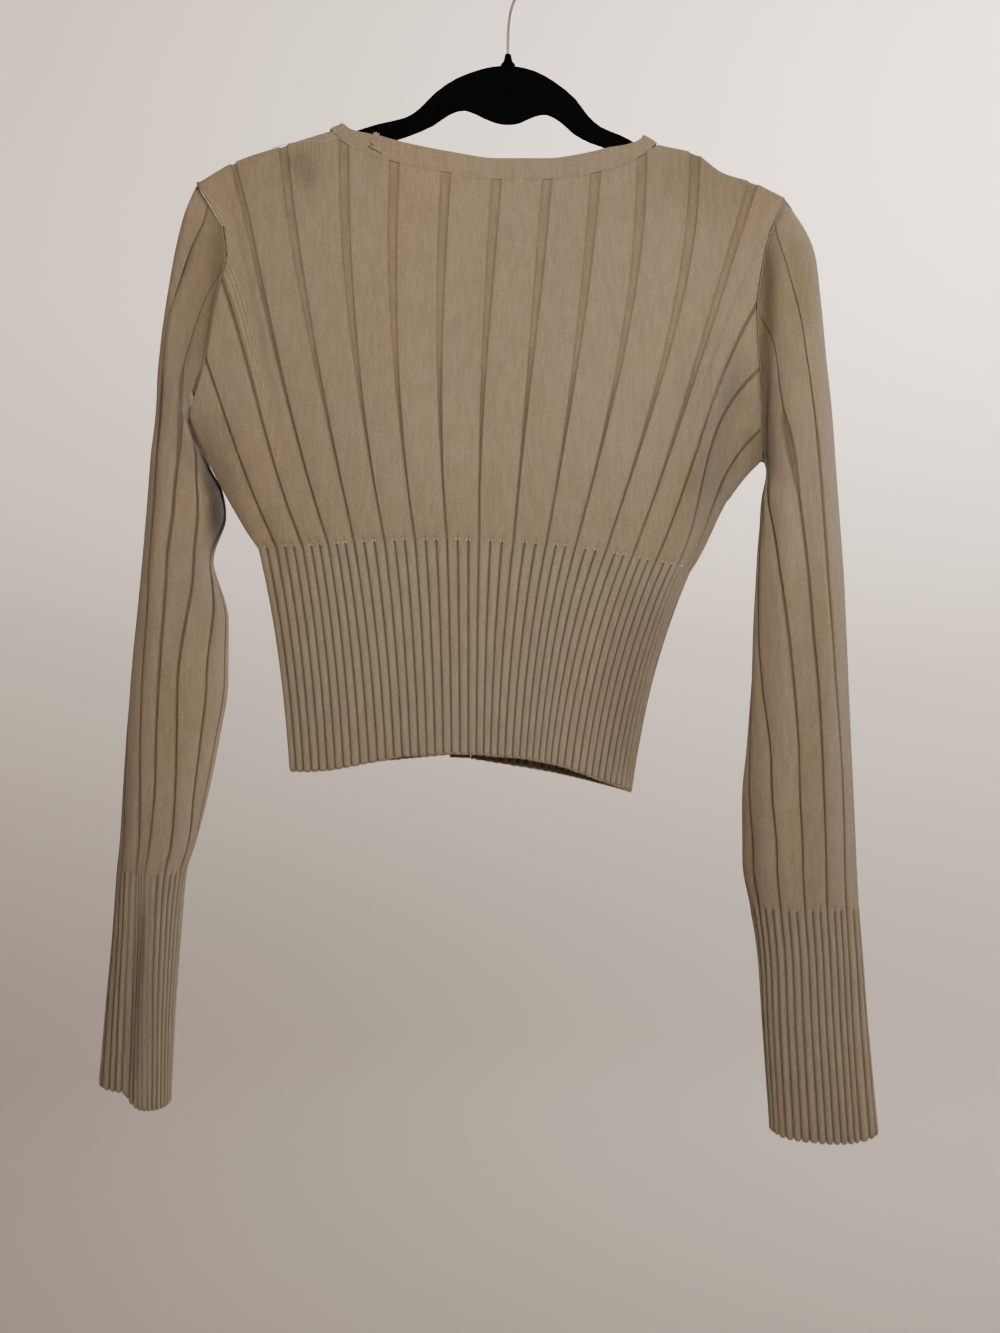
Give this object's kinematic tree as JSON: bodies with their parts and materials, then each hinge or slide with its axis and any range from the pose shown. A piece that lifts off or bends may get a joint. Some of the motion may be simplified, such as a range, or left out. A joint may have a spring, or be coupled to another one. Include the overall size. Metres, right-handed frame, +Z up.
{
  "type": "cropped cardigan on a clothes hanger",
  "caption": "Cropped ribbed knit cardigan, long sleeved and buttoned in front, hanging on a slim flocked hanger with a wire hook.",
  "frame": {"origin": "the hook's seat: the underside of the wire at the top of the hook, where a rail carries it", "axes": "+Z up, +X towards the garment's right side, the back of the garment faces -Y and its front +Y"},
  "size_m": [0.544, 0.0651, 0.8427],
  "materials": {
    "knit": "fine-gauge rib knit, matte",
    "band_knit": "plain fine-gauge knit, matte",
    "button": "satin",
    "flock": "short black flock",
    "hook_chrome": "bright plated wire"
  },
  "bodies": {
    "root": {"back": "knit", "front_left": "knit", "front_right": "knit", "sleeve_left": "knit", "sleeve_right": "knit", "neckband": "band_knit", "button_band": "band_knit", "buttonhole_band": "band_knit", "button_1": "button", "button_2": "button", "button_3": "button", "button_4": "button", "button_5": "button", "button_6": "button", "hanger_body": "flock", "hanger_neck": "flock", "hanger_hook": "hook_chrome"}
  },
  "joints": []
}
